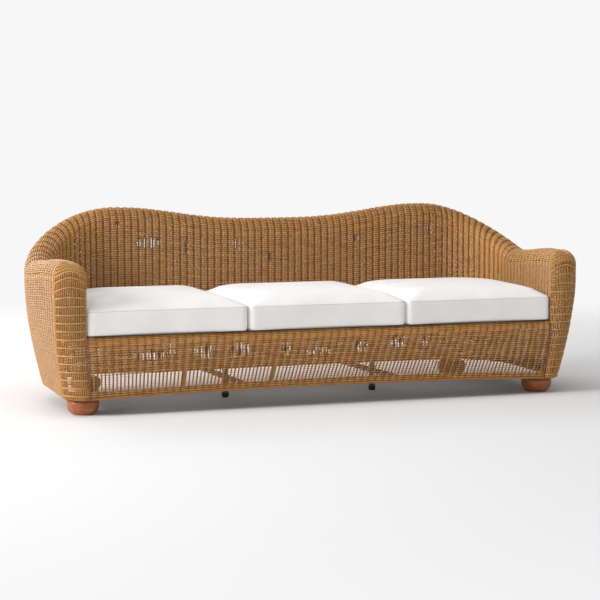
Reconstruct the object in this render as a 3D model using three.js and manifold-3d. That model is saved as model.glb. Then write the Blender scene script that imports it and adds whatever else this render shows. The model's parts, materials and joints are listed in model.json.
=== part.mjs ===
// Woven garden sofa: a rolled, camel-backed wicker wall on a tube frame, with bun feet and loose cushions.
// Millimetres. X runs along the seat to the right, Y towards the back and Z up. The floor is at Z = 0.
import * as THREE from 'three';
import { mergeVertices } from 'three/addons/utils/BufferGeometryUtils.js';
import Module from 'manifold-3d';

const wasm = await Module();
wasm.setup();

// Whole sofa
const overallWidth = 2430;
const overallDepth = 887;

// Room between pieces: at a joint, and added under bent skins
const clearance = 0.3;
const skinSpare = 0.6;

// Woven wall in plan
const wallThickness = 130;
const cornerRadius = 300;
const armPinch = 31;

// Crest of the wall, by distance along it from the middle of the back
const backCrest = 777;
const shoulderCrest = 835;
const saddleCrest = 621;
const armCrest = 648;
const shoulderStart = 735;
const shoulderEnd = 760;
const saddlePlace = 1310;
const armCrestPlace = 1700;
const risePower = 1.74;
const fallPower = 0.64;

// Taper of the outer face towards the floor
const bulgeHeight = 525;
const skirtHeight = 70;
const sideTaper = 78;
const backTaper = 50;
const taperPower = 1.7;

// Front panel of an arm
const creaseTop = 450;
const creaseDepthHigh = 36;
const creaseDepthLow = 99;
const panelTuck = 28;
const domeSetback = 65.5;
const seamRound = 18;
const seamPinch = 18;
const crownInset = 14;
const domeTipShare = 0.1;

// Front apron
const apronSetback = 12;
const apronTuck = 26;
const apronPower = 2;
const apronArch = 18;

// Weave and deck. The walls are ribbed: a ridge over each broad stake, a valley between
const weaveThickness = 8;
const ribPitch = 33;
const ribRelief = 3.8;
const deckTop = 334;
const deckStepGap = 3;

// Frame tubes
const railRadius = 13;
const frontRailInset = 36;
const topRailRadius = 14;
const postRadius = 12.5;
const hoopRadius = 10;
const hoopSetback = 17;
const lowRailRadius = 12;
const crossRailRadius = 12.5;
const armPostRow = -120;

// Places along the straight run of the back, as shares of half of it
const crossRailShares = [-0.824, -0.412, 0.412, 0.824];
const backPostShares = [-0.5, 0, 0.5];
const legShare = 0.412;

// Centre legs
const legRow = -39;
const legRadius = 13.4;
const glideHeight = 20;
const glideWall = 2.2;
const glideFloor = 12;
const glideRounding = 7;

// Bun feet, with a plate and a hanger bolt each, set in from the sides, the front and the back
const frontFootInset = 164;
const frontFootSetback = 137.5;
const rearFootInset = 310;
const rearFootSetback = 125.5;
const footRadius = 69;
const footFlatRadius = 33;
const footTopRadius = 60;
const footBellyHeight = 46;
const plateThickness = 5;
const frontPlateRadius = 78;
const rearPlateRadius = 60;
const boltRadius = 5;
const boltPlay = 0.5;
const boltReach = 40;
const boltHeadRadius = 9.5;
const boltHeadHeight = 6.5;

// Cushions
const middleCushionWidth = 718;
const cushionGap = 1.6;
const cushionFrontSetback = 13.5;
const cushionBackGap = 3;
const cushionArmGap = 9.5;
const cushionSide = 113;
const cushionCrown = 28;
const cushionEdge = 10;
const cushionDrawIn = 5;
const cushionCornerRadius = 26;
const crownPower = 2.2;
const crownShares = [0.93, 0.8, 0.6, 0.35, 0.1];
const drawInShares = [0.2, 0.5, 0.8];

// Facets. The hidden side of a ribbed skin has a column to every two ribs
const ribsToColumn = 2;
const rollSteps = 5;
const crestSteps = 4;
const outerRowShares = [0, 0.2, 0.45, 0.72, 1];
const innerRowShares = [0, 1];
const panelOuterSteps = 6;
const panelInnerSteps = 3;
const apronColumns = 14;
const apronRows = 5;
const tubeSides = 8;
const legSides = 14;
const plateSides = 16;
const footSides = 18;
const boltSides = 8;

// Sizes that follow from those above
const halfWidth = overallWidth / 2;
const halfDepth = overallDepth / 2;
const wallHalf = wallThickness / 2;
const armMid = halfWidth - wallHalf;
const backMid = halfDepth - wallHalf;
const cornerX = armMid - cornerRadius;
const cornerY = backMid - cornerRadius;
const quarter = Math.PI / 2;
const cornerRun = cornerRadius * quarter;
const armRollHeight = armCrest - wallHalf;
const domeRow = domeSetback - halfDepth;
const seatRailHeight = deckTop - weaveThickness - clearance - railRadius;
const baseRailHeight = skirtHeight + railRadius;
const plateTop = baseRailHeight - railRadius - clearance;
const footHeight = plateTop - plateThickness - clearance;
const hoopRow = domeRow + hoopSetback;
const bentRoom = clearance + skinSpare;
const hoopInset = weaveThickness + bentRoom + railRadius;
const hoopArch = wallHalf - hoopInset;

const wicker = finish('#b27c42', 0.72, 0);
const framePaint = finish('#4a3628', 0.45, 0.3);
const footWood = finish('#a9683f', 0.5, 0);
const zinc = finish('#a9abad', 0.35, 0.9);
const blackCap = finish('#1f1d1c', 0.55, 0);
const cushionCloth = finish('#f2f0ec', 0.9, 0);

function finish(color, roughness, metalness) {
  return new THREE.MeshStandardMaterial({ color, roughness, metalness });
}

function mix(from, to, share) {
  return from + (to - from) * share;
}

function shareOf(value, from, to) {
  return THREE.MathUtils.clamp((value - from) / (to - from), 0, 1);
}

function easeOf(value, from, to) {
  return (1 - Math.cos(Math.PI * shareOf(value, from, to))) / 2;
}

function spread(from, to, steps) {
  return Array.from({ length: steps + 1 }, (_, k) => mix(from, to, k / steps));
}

function point(x, y, z) {
  return new THREE.Vector3(x, y, z);
}

// How far the arms have closed in at a row, towards the front
function pinchAt(y) {
  const reach = Math.max(0, cornerY - y) / (cornerY + halfDepth);
  return armPinch * reach * reach;
}

// The middle of the right half of the wall in plan: where it is, which way is outwards and its taper
function wallAt(distance) {
  if (distance <= cornerX) {
    return { distance, x: distance, y: backMid, outX: 0, outY: 1, taper: backTaper };
  }
  const turn = (distance - cornerX) / cornerRadius;
  if (turn > quarter) {
    return armAt(cornerY - cornerRadius * (turn - quarter));
  }
  const outX = Math.sin(turn);
  const outY = Math.cos(turn);
  const x = cornerX + cornerRadius * outX;
  const y = cornerY + cornerRadius * outY;
  return { distance, x, y, outX, outY, taper: mix(backTaper, sideTaper, turn / quarter) };
}

function armAt(y) {
  const distance = cornerX + cornerRun + cornerY - y;
  const pinch = pinchAt(y);
  return { distance, x: armMid - pinch, y, outX: 1, outY: 0, taper: sideTaper - pinch };
}

function crestAt(distance) {
  if (distance < shoulderEnd) {
    return mix(backCrest, shoulderCrest, Math.pow(easeOf(distance, 0, shoulderStart), risePower));
  }
  if (distance < saddlePlace) {
    return mix(saddleCrest, shoulderCrest, Math.pow(easeOf(distance, saddlePlace, shoulderEnd), fallPower));
  }
  return mix(saddleCrest, armCrest, easeOf(distance, saddlePlace, armCrestPlace));
}

// Outer face below the roll, as a distance out from the middle of the wall
function outerOffset(wall, z) {
  return wallHalf - wall.taper * Math.pow(shareOf(z, bulgeHeight, skirtHeight), taperPower);
}

function placeOn(wall, offset, z) {
  return point(wall.x + wall.outX * offset, wall.y + wall.outY * offset, z);
}

// Turns the faces of a closed solid outwards
function outward(points, index) {
  let volume = 0;
  const across = point(0, 0, 0);
  for (let i = 0; i < index.length; i += 3) {
    across.crossVectors(points[index[i + 1]], points[index[i + 2]]);
    volume += points[index[i]].dot(across);
  }
  const order = volume < 0 ? index.reverse() : index;
  const geometry = new THREE.BufferGeometry();
  geometry.setAttribute('position', new THREE.Float32BufferAttribute(points.flatMap((p) => p.toArray()), 3));
  geometry.setIndex(order);
  geometry.computeVertexNormals();
  return geometry;
}

// A closed solid between two grids of points with the same rows. The hidden grid may have fewer columns
function sheet([front, back]) {
  const rows = front.length;
  const columns = front[0].length;
  const farColumns = back[0].length;
  const perFar = (columns - 1) / (farColumns - 1);
  const near = (r, c) => r * columns + c;
  const far = (r, c) => rows * columns + r * farColumns + c;
  const index = [];
  const quad = (a, b, c, d) => index.push(a, b, c, a, c, d);
  for (let r = 0; r < rows - 1; r++) {
    for (let c = 0; c < columns - 1; c++) {
      quad(near(r, c), near(r, c + 1), near(r + 1, c + 1), near(r + 1, c));
    }
    for (let c = 0; c < farColumns - 1; c++) {
      quad(far(r, c), far(r + 1, c), far(r + 1, c + 1), far(r, c + 1));
    }
    const [right, farRight] = [columns - 1, farColumns - 1];
    quad(near(r, 0), near(r + 1, 0), far(r + 1, 0), far(r, 0));
    quad(near(r, right), far(r, farRight), far(r + 1, farRight), near(r + 1, right));
  }
  const half = Math.ceil(perFar / 2);
  const edge = (r, face) => {
    for (let c = 0; c < farColumns - 1; c++) {
      for (let i = 0; i < perFar; i++) {
        const place = c * perFar + i;
        face(near(r, place), far(r, i < half ? c : c + 1), near(r, place + 1));
      }
      face(near(r, c * perFar + half), far(r, c), far(r, c + 1));
    }
  };
  edge(0, (a, b, c) => index.push(a, b, c));
  edge(rows - 1, (a, b, c) => index.push(a, c, b));
  return outward([...front.flat(), ...back.flat()], index);
}

// A closed solid through rings of points, capped at both ends
function loft(rings) {
  const sides = rings[0].length;
  const index = [];
  for (let r = 0; r < rings.length - 1; r++) {
    for (let k = 0; k < sides; k++) {
      const a = r * sides + k;
      const b = r * sides + (k + 1) % sides;
      index.push(a, b, b + sides, a, b + sides, a + sides);
    }
  }
  const last = (rings.length - 1) * sides;
  for (let k = 1; k < sides - 1; k++) {
    index.push(0, k + 1, k, last, last + k, last + k + 1);
  }
  return outward(rings.flat(), index);
}

function solidOf(geometry) {
  const bare = geometry.clone();
  bare.deleteAttribute('normal');
  bare.deleteAttribute('uv');
  const merged = mergeVertices(bare);
  return new wasm.Manifold(new wasm.Mesh({
    numProp: 3,
    vertProperties: new Float32Array(merged.attributes.position.array),
    triVerts: new Uint32Array(merged.index.array),
  }));
}

function cut(geometry, cutters) {
  const solid = cutters.reduce((left, cutter) => left.subtract(solidOf(cutter)), solidOf(geometry));
  const mesh = solid.getMesh();
  const result = new THREE.BufferGeometry();
  result.setAttribute('position', new THREE.Float32BufferAttribute(mesh.vertProperties, 3));
  result.setIndex(Array.from(mesh.triVerts));
  result.computeVertexNormals();
  return result;
}

// A ring of a tube: its centre and the two directions across it
function tubeRing(centre, level, rise, radius, sides) {
  return Array.from({ length: sides }, (_, k) => {
    const turn = 2 * Math.PI * (k + 0.5) / sides;
    return centre.clone()
      .addScaledVector(level, radius * Math.cos(turn))
      .addScaledVector(rise, radius * Math.sin(turn));
  });
}

function bar(from, to, radius, sides = tubeSides) {
  const along = to.clone().sub(from).normalize();
  const side = Math.abs(along.z) > Math.SQRT1_2 ? point(1, 0, 0) : point(0, 0, 1);
  const level = point(0, 0, 0).crossVectors(side, along).normalize();
  const rise = point(0, 0, 0).crossVectors(along, level);
  return loft([from, to].map((end) => tubeRing(end, level, rise, radius, sides)));
}

// A bent tube through stations, each a centre with the level direction across the tube there
function bentTube(stations, radius) {
  const up = point(0, 0, 1);
  return loft(stations.map(({ centre, across }) => tubeRing(centre, across, up, radius, tubeSides)));
}

function lathe(outline, sides) {
  return new THREE.LatheGeometry(outline.map(([r, z]) => new THREE.Vector2(r, z)), sides).rotateX(quarter);
}

function mirrored(points) {
  return points.map((p) => point(-p.x, p.y, p.z));
}

// Right-hand stations from the middle of the back, run on to the left as well
function bothHalves(half) {
  const left = half.slice(1).reverse().map(({ centre, across }) => ({
    centre: point(-centre.x, centre.y, centre.z),
    across: point(-across.x, across.y, across.z),
  }));
  return [...left, ...half];
}

// Ribs along a stretch of wall, a whole number to each column of the hidden side
function ribsAlong(length) {
  return ribsToColumn * Math.max(1, Math.round(length / ribPitch / ribsToColumn));
}

const halfBackRibs = ribsAlong(cornerX);
const cornerRibs = ribsAlong(cornerRun);
const armRibs = ribsAlong(cornerY - creaseRow(armRollHeight));
const armColumns = armRibs / ribsToColumn;
const stepsToRib = 2;
const perColumn = stepsToRib * ribsToColumn;
const backDistances = spread(0, cornerX, halfBackRibs / ribsToColumn);
const cornerDistances = spread(cornerX, cornerX + cornerRun, cornerRibs / ribsToColumn).slice(1);
const rollTurns = spread(0, quarter, crestSteps).slice(1);

// Rows of the outer or inner face at one place: up the face, then over the roll to the crest
function faceRows(wall, outer, relief) {
  const sign = outer ? 1 : -1;
  const rollHeight = crestAt(wall.distance) - wallHalf;
  const low = outer ? skirtHeight : deckTop + clearance;
  const straight = (outer ? outerRowShares : innerRowShares).map((rowShare) => {
    const z = mix(low, rollHeight, rowShare);
    const offset = outer ? outerOffset(wall, z) : -wallHalf;
    const at = (depth) => placeOn(wall, offset - sign * depth, z);
    return { z, seen: at(relief), hidden: at(weaveThickness) };
  });
  const roll = rollTurns.map((rollTurn) => {
    const turn = Math.min(rollTurn, quarter - clearance / wallHalf);
    const level = sign * Math.cos(turn);
    const rise = Math.sin(turn);
    const on = (radius) => placeOn(wall, radius * level, rollHeight + radius * rise);
    const z = rollHeight + wallHalf * rise;
    return { z, seen: on(wallHalf - relief), hidden: on(wallHalf - weaveThickness) };
  });
  return [...straight, ...roll];
}

// Turns columns of rows into the two grids of a sheet
function gridsOf(columns) {
  const grid = (from, side) => columns[0].map((_, r) => from.map((rows) => rows[r][side]));
  return [grid(columns, 'seen'), grid(columns.filter((_, i) => i % perColumn === 0), 'hidden')];
}

// Columns lie in the valleys and on the ridges by turns
function reliefAt(column) {
  return column % stepsToRib === 0 ? ribRelief : 0;
}

function backFace(outer) {
  const places = spread(-cornerX, cornerX, 2 * stepsToRib * halfBackRibs);
  const walls = places.map((x) => ({ ...wallAt(Math.abs(x)), x }));
  return gridsOf(walls.map((wall, i) => faceRows(wall, outer, reliefAt(i))));
}

function panelFront(z) {
  return panelTuck * Math.pow(shareOf(z, bulgeHeight, skirtHeight), taperPower) - halfDepth;
}

function creaseRow(z) {
  return panelFront(z) + mix(creaseDepthHigh, creaseDepthLow, shareOf(z, creaseTop, skirtHeight));
}

// Inner edge of the front panel, where it meets the apron and the arm's inner face
function seamAt(z) {
  const y = panelFront(z) + seamRound;
  return { x: armAt(y).x - wallHalf - seamPinch * shareOf(z, deckTop, skirtHeight), y };
}

// Row at which an arm's outer or inner face ends, closing in to the dome over its roll
function faceEnd(z, outer) {
  const up = Math.max(0, z - armRollHeight) / wallHalf;
  const full = outer ? creaseRow(z) : seamAt(z).y;
  return bentRoom + mix(domeRow, full, Math.sqrt(Math.max(0, 1 - up * up)));
}

// The last column, along the front panel, stands as high as the panel
function sideFace(outer) {
  const places = spread(cornerX + clearance, cornerX + cornerRun, stepsToRib * cornerRibs);
  const corners = places.map((distance, i) => faceRows(wallAt(distance), outer, reliefAt(i)));
  const ends = faceRows(armAt(faceEnd(armRollHeight, outer)), outer, 0).map(({ z }) => faceEnd(z, outer));
  const arms = spread(0, 1, stepsToRib * armRibs).slice(1).map((along, i, all) => {
    const relief = i === all.length - 1 ? 0 : reliefAt(i + 1);
    return ends.map((end, r) => faceRows(armAt(mix(cornerY, end, along)), outer, relief)[r]);
  });
  return gridsOf([...corners, ...arms]);
}

// Plan of the front panel at a height, from the crease on the outer side round to the seam
function panelPlan(z) {
  const front = panelFront(z);
  const crease = creaseRow(z);
  const side = armAt(crease);
  const seam = seamAt(z);
  const crownX = mix(side.x, seam.x + crownInset, shareOf(z, creaseTop, skirtHeight));
  const width = side.x + outerOffset(side, z) - crownX;
  const outer = spread(0, quarter, panelOuterSteps).map((turn) => ({
    x: crownX + width * Math.cos(turn),
    y: crease - (crease - front) * Math.sin(turn),
    out: point((crease - front) * Math.cos(turn), -width * Math.sin(turn), 0).normalize(),
  }));
  const inner = spread(0, quarter, panelInnerSteps).slice(1).map((turn) => ({
    x: crownX - (crownX - seam.x) * Math.sin(turn),
    y: seam.y - seamRound * Math.cos(turn),
    out: point(-seamRound * Math.sin(turn), (seam.x - crownX) * Math.cos(turn), 0).normalize(),
  }));
  return [...outer, ...inner];
}

function armPanel() {
  const tip = armAt(domeRow);
  const straight = outerRowShares.map((rowShare) => [mix(skirtHeight, armRollHeight, rowShare), 0]);
  const dome = rollTurns.map((turn) => [armRollHeight, Math.min(turn, Math.acos(domeTipShare))]);
  const grids = [[], []];
  for (const [height, turn] of [...straight, ...dome]) {
    const level = Math.cos(turn);
    const rise = Math.sin(turn);
    const z = height + wallHalf * rise;
    const plan = panelPlan(height);
    const seen = plan.map((p) => point(mix(tip.x, p.x, level), mix(tip.y, p.y, level), z));
    const depth = ({ out }) => out.clone().multiplyScalar(level).setZ(rise);
    grids[0].push(seen);
    grids[1].push(seen.map((p, i) => p.clone().addScaledVector(depth(plan[i]), -weaveThickness)));
  }
  return grids;
}

// Lower edge of the apron, arched up to the middle
function apronEdge(x) {
  const reach = Math.min(1, Math.abs(x) / seamAt(skirtHeight).x);
  return skirtHeight + apronArch * (1 - reach * reach);
}

function apronFront(z) {
  return apronSetback - halfDepth + apronTuck * Math.pow(shareOf(z, seatRailHeight, skirtHeight), apronPower);
}

const seatFrontRow = apronFront(seatRailHeight) + weaveThickness + clearance + railRadius;

// The apron rises from its arched edge and turns in over the front seat rail to the deck
function apron() {
  const turnOver = weaveThickness + clearance + railRadius;
  const columnShares = spread(-1, 1, apronColumns);
  const rise = spread(0, 1, apronRows).map((rowShare) => columnShares.map((columnShare) => {
    const z = mix(apronEdge(columnShare * seamAt(skirtHeight).x), seatRailHeight, rowShare);
    const seen = point(columnShare * (seamAt(z).x - bentRoom), apronFront(z), z);
    return { seen, hidden: seen.clone().setY(seen.y + weaveThickness) };
  }));
  const over = spread(0, quarter, rollSteps - 1).slice(1).map((turn) => columnShares.map((columnShare) => {
    const on = (radius) => point(
      columnShare * (seamAt(seatRailHeight).x - bentRoom),
      seatFrontRow - radius * Math.cos(turn),
      seatRailHeight + radius * Math.sin(turn),
    );
    return { seen: on(turnOver), hidden: on(turnOver - weaveThickness) };
  }));
  const rows = [...rise, ...over];
  return ['seen', 'hidden'].map((side) => rows.map((row) => row.map((p) => p[side])));
}

function railOffset(wall, z) {
  return outerOffset(wall, z) - hoopInset;
}

function topRailHeight(wall) {
  return crestAt(wall.distance) - weaveThickness - bentRoom - topRailRadius;
}

// A post leans out from the base rail to the top rail
function postOffset(wall, z) {
  return railOffset(wall, baseRailHeight) * (1 - shareOf(z, baseRailHeight, topRailHeight(wall)));
}

// The seat rail runs inside the posts, and under the inner leg of the hoop at the front
function seatRailOffset(wall) {
  const byPosts = postOffset(wall, seatRailHeight) - postRadius - clearance - railRadius;
  return mix(byPosts, -hoopArch, shareOf(wall.y, armPostRow, hoopRow));
}

function wallRun(lastRow, offsetAt, heightAt, straight = [0, cornerX]) {
  const arms = spread(cornerY, lastRow, armColumns).slice(1).map(armAt);
  const walls = [...[...straight, ...cornerDistances].map(wallAt), ...arms];
  return walls.map((wall) => ({
    centre: placeOn(wall, offsetAt(wall), heightAt(wall)),
    across: point(wall.outX, wall.outY, 0),
  }));
}

// Turns the front end of a rail in, round to where a front rail ends
function turnedIn(half, reach, row) {
  const start = half.at(-1).centre;
  const turned = spread(0, quarter, rollSteps + 1).slice(1).map((turn) => ({
    centre: point(mix(reach, start.x, Math.cos(turn)), mix(start.y, row, Math.sin(turn)), start.z),
    across: point(Math.cos(turn), -Math.sin(turn), 0),
  }));
  return bothHalves([...half, ...turned]);
}

const seatFrontReach = seamAt(seatRailHeight).x - frontRailInset;
const baseFrontReach = seamAt(baseRailHeight).x - frontRailInset;
const baseFrontRow = apronFront(baseRailHeight) + hoopInset;
const topRailRun = bothHalves(wallRun(hoopRow + hoopRadius + clearance, () => 0, topRailHeight, backDistances));
const seatRailRun = turnedIn(
  wallRun(hoopRow, seatRailOffset, () => seatRailHeight),
  seatFrontReach,
  seatFrontRow,
);
const baseRailRun = turnedIn(
  wallRun(creaseRow(baseRailHeight), (wall) => railOffset(wall, baseRailHeight), () => baseRailHeight),
  baseFrontReach,
  baseFrontRow,
);

function baseFrontHeight(x) {
  return apronEdge(x) + railRadius;
}

const baseFrontRun = spread(clearance - baseFrontReach, baseFrontReach - clearance, apronColumns).map((x) => ({
  centre: point(x, baseFrontRow, baseFrontHeight(x)),
  across: point(0, 1, 0),
}));

// Each of these tubes is drawn with room round it as well, to cut what meets it
function topRail(room) {
  return bentTube(topRailRun, topRailRadius + room);
}

function baseRail(room) {
  return bentTube(baseRailRun, railRadius + room);
}

function baseFrontRail(room) {
  return bentTube(baseFrontRun, railRadius + room);
}

function seatRail(room) {
  return bentTube(seatRailRun, railRadius + room);
}

function seatFrontRail(room) {
  const end = (sign) => point(sign * (seatFrontReach - clearance), seatFrontRow, seatRailHeight);
  return bar(end(-1), end(1), railRadius + room);
}

function leg(x, room) {
  const top = seatRailHeight - crossRailRadius - clearance;
  return bar(point(x, legRow, glideFloor + clearance), point(x, legRow, top), legRadius + room, legSides);
}

function post(wall) {
  const foot = placeOn(wall, postOffset(wall, baseRailHeight), baseRailHeight);
  const head = placeOn(wall, 0, topRailHeight(wall));
  return cut(bar(foot, head, postRadius), [topRail(clearance), baseRail(clearance)]);
}

// A hoop stands inside the front of an arm, from the base rail over the dome and down to the seat rail
function hoop(sign) {
  const arch = armAt(hoopRow);
  const outerLeg = spread(baseRailHeight, armRollHeight, rollSteps + 2).slice(0, -1).map((z) => {
    const wall = armAt(Math.max(hoopRow, creaseRow(z) + hoopRadius + clearance));
    return placeOn(wall, railOffset(wall, z), z);
  });
  const over = spread(0, Math.PI, rollSteps + 3).map((turn) => (
    placeOn(arch, hoopArch * Math.cos(turn), armRollHeight + hoopArch * Math.sin(turn))
  ));
  const path = [...outerLeg, ...over, placeOn(arch, -hoopArch, seatRailHeight)];
  const rings = path.map((centre, i) => {
    const along = path[Math.min(i + 1, path.length - 1)].clone().sub(path[Math.max(i - 1, 0)]).normalize();
    const level = point(0, 1, 0).addScaledVector(along, -along.y).normalize();
    const ring = tubeRing(centre, level, point(0, 0, 0).crossVectors(along, level), hoopRadius, tubeSides);
    return sign < 0 ? mirrored(ring) : ring;
  });
  return cut(loft(rings), [baseRail(clearance), seatRail(clearance)]);
}

// The deck lies on the seat rails and steps in past the hoops at the front
function deck() {
  const stepRow = hoopRow + hoopRadius + deckStepGap;
  const stepX = armAt(stepRow).x - wallHalf + weaveThickness;
  const half = wallRun(stepRow, seatRailOffset, () => deckTop).map(({ centre }) => centre);
  half.push(point(stepX, stepRow, deckTop));
  half.push(point(seamAt(deckTop).x - clearance, seatFrontRow + clearance, deckTop));
  const outline = [...mirrored(half.slice(1)).reverse(), ...half];
  const shape = new THREE.Shape(outline.map((p) => new THREE.Vector2(p.x, p.y)));
  const panel = new THREE.ExtrudeGeometry(shape, { depth: weaveThickness, bevelEnabled: false });
  return panel.translate(0, 0, deckTop - weaveThickness);
}

function rowBehind(run, x) {
  return run.find(({ centre }) => centre.x >= x).centre.y;
}

function crossRail(x) {
  const ends = [seatFrontRow, rowBehind(seatRailRun, x)].map((y) => point(x, y, seatRailHeight));
  return cut(bar(...ends, crossRailRadius), [seatFrontRail(clearance), seatRail(clearance)]);
}

// A low rail runs from the front or rear base rail to a centre leg
function lowRail(x, front) {
  const rearRow = rowBehind(baseRailRun, x);
  const onRail = (y) => point(x, y, mix(baseFrontHeight(x), baseRailHeight, shareOf(y, baseFrontRow, rearRow)));
  const tube = bar(onRail(front ? baseFrontRow : rearRow), onRail(legRow), lowRailRadius);
  return cut(tube, [leg(x, clearance), front ? baseFrontRail(clearance) : baseRail(clearance)]);
}

function glide(x) {
  const bore = legRadius + clearance;
  const outer = bore + glideWall;
  const rounding = spread(0, quarter, rollSteps - 1).map((turn) => [
    outer - glideRounding * (1 - Math.sin(turn)),
    glideRounding * (1 - Math.cos(turn)),
  ]);
  const cup = [[outer, glideHeight], [bore, glideHeight], [bore, glideFloor], [0, glideFloor]];
  return lathe([[0, 0], ...rounding, ...cup], footSides).translate(x, legRow, 0);
}

// A turned bun, flat on the floor, fullest above its middle and bored for the bolt
function foot(x, y) {
  const belly = spread(0, quarter, rollSteps + 1).map((turn) => [
    mix(footFlatRadius, footRadius, Math.sin(turn)),
    footBellyHeight * (1 - Math.cos(turn)),
  ]);
  const shoulder = spread(0, quarter, rollSteps - 1).slice(1).map((turn) => [
    mix(footTopRadius, footRadius, Math.cos(turn)),
    mix(footBellyHeight, footHeight, Math.sin(turn)),
  ]);
  const bore = boltRadius + boltPlay;
  const boreFloor = footHeight - boltReach - clearance;
  const outline = [[0, 0], ...belly, ...shoulder, [bore, footHeight], [bore, boreFloor], [0, boreFloor]];
  return lathe(outline, footSides).translate(x, y, 0);
}

function plate(x, y, radius) {
  const bore = boltRadius + boltPlay;
  const low = plateTop - plateThickness;
  const outline = [[bore, low], [radius, low], [radius, plateTop], [bore, plateTop], [bore, low]];
  return lathe(outline, plateSides).translate(x, y, 0);
}

function bolt(x, y) {
  const end = footHeight - boltReach;
  const seat = plateTop + clearance;
  const top = seat + boltHeadHeight;
  const shank = [[0, end], [boltRadius, end], [boltRadius, seat]];
  const head = [[boltHeadRadius, seat], [boltHeadRadius, top], [0, top]];
  return lathe([...shank, ...head], boltSides).translate(x, y, 0);
}

function arc(centreX, centreY, radius, start) {
  return spread(0, quarter, crestSteps).map((turn) => new THREE.Vector2(
    centreX + radius * Math.cos(start + turn),
    centreY + radius * Math.sin(start + turn),
  ));
}

// A free side of a cushion, drawn in a little between its corners
function drawnIn(start, end) {
  const inward = new THREE.Vector2(start.y - end.y, end.x - start.x).normalize();
  return drawInShares.map((along) => (
    start.clone().lerp(end, along).addScaledVector(inward, cushionDrawIn * Math.sin(Math.PI * along))
  ));
}

function closedOutline(parts) {
  return parts.flatMap((part, i) => {
    const next = parts[(i + 1) % parts.length][0];
    return [...part, ...drawnIn(part.at(-1), next)];
  });
}

const cushionFront = cushionFrontSetback - halfDepth;
const cushionRear = backMid - wallHalf - cushionBackGap;
const middleHalf = middleCushionWidth / 2;
const endStart = middleHalf + cushionGap;

function middleOutline() {
  const cornerAt = (sx, sy, start) => arc(
    sx * (middleHalf - cushionCornerRadius),
    sy > 0 ? cushionRear - cushionCornerRadius : cushionFront + cushionCornerRadius,
    cushionCornerRadius,
    start,
  );
  return closedOutline([
    cornerAt(1, -1, -quarter),
    cornerAt(1, 1, 0),
    cornerAt(-1, 1, quarter),
    cornerAt(-1, -1, Math.PI),
  ]);
}

// The right end cushion follows the arm and the rounded corner of the wall
function endOutline() {
  const turnY = cushionFront + cushionCornerRadius;
  const follow = (wall) => {
    const gap = mix(cushionBackGap, cushionArmGap, shareOf(wall.y, cornerY, cushionFront));
    const p = placeOn(wall, -wallHalf - gap, 0);
    return new THREE.Vector2(p.x, p.y);
  };
  const besideArm = spread(turnY, cornerY, armColumns).slice(1, -1).map((y) => follow(armAt(y)));
  const roundCorner = [cornerX, ...cornerDistances].reverse().map((distance) => follow(wallAt(distance)));
  const sideX = follow(armAt(turnY)).x;
  return closedOutline([
    [...arc(sideX - cushionCornerRadius, turnY, cushionCornerRadius, -quarter), ...besideArm, ...roundCorner],
    arc(endStart + cushionCornerRadius, cushionRear - cushionCornerRadius, cushionCornerRadius, quarter),
    arc(endStart + cushionCornerRadius, turnY, cushionCornerRadius, Math.PI),
  ]);
}

// A box cushion: rounded lower edge, straight side up to the seam, then the crown
function cushion(outline) {
  const bottom = deckTop + clearance;
  const seam = bottom + cushionSide;
  const middle = outline.reduce((sum, p) => sum.add(p), new THREE.Vector2()).divideScalar(outline.length);
  const inset = (depth, z) => outline.map((p) => {
    const away = p.clone().sub(middle);
    const moved = away.setLength(away.length() - depth).add(middle);
    return point(moved.x, moved.y, z);
  });
  const rounding = (base, rise) => spread(0, quarter, rollSteps - 2).map((turn) => (
    inset(cushionEdge * (1 - Math.sin(turn)), base + rise * cushionEdge * (1 - Math.cos(turn)))
  ));
  const crown = crownShares.map((crownShare) => outline.map((p) => {
    const moved = p.clone().lerp(middle, 1 - crownShare);
    return point(moved.x, moved.y, seam + cushionCrown * (1 - Math.pow(crownShare, crownPower)));
  }));
  return loft([...rounding(bottom, 1), ...rounding(seam, -1).reverse(), ...crown]);
}

const group = new THREE.Group();

function add(name, geometry, material) {
  const mesh = new THREE.Mesh(geometry, material);
  mesh.name = name;
  group.add(mesh);
}

// Woven skins and the deck
const flipped = (grids) => grids.map((grid) => grid.map(mirrored));
const kept = (grids) => grids;
const sides = [['left', -1, flipped], ['right', 1, kept]];
add('back_outer_weave', sheet(backFace(true)), wicker);
add('back_inner_weave', sheet(backFace(false)), wicker);
for (const [side, , hand] of sides) {
  add(`${side}_outer_weave`, sheet(hand(sideFace(true))), wicker);
  add(`${side}_inner_weave`, sheet(hand(sideFace(false))), wicker);
  add(`${side}_arm_front_weave`, sheet(hand(armPanel())), wicker);
}
add('front_apron_weave', sheet(apron()), wicker);
add('seat_deck', deck(), wicker);

// Rails, posts and hoops
add('top_rail', topRail(0), framePaint);
add('base_rail', baseRail(0), framePaint);
add('front_base_rail', baseFrontRail(0), framePaint);
add('seat_rail', seatRail(0), framePaint);
add('front_seat_rail', seatFrontRail(0), framePaint);
crossRailShares.forEach((along, i) => {
  add(`seat_cross_rail_${i + 1}`, crossRail(along * cornerX), framePaint);
});
backPostShares.forEach((along, i) => {
  const x = along * cornerX;
  add(`back_post_${i + 1}`, post({ ...wallAt(Math.abs(x)), x }), framePaint);
});
for (const [side, sign] of sides) {
  const onSide = (wall) => ({ ...wall, x: sign * wall.x, outX: sign * wall.outX });
  add(`${side}_corner_post`, post(onSide(wallAt(cornerX + cornerRun / 2))), framePaint);
  add(`${side}_arm_post`, post(onSide(armAt(armPostRow))), framePaint);
  add(`${side}_arm_hoop`, hoop(sign), framePaint);
}

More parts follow.
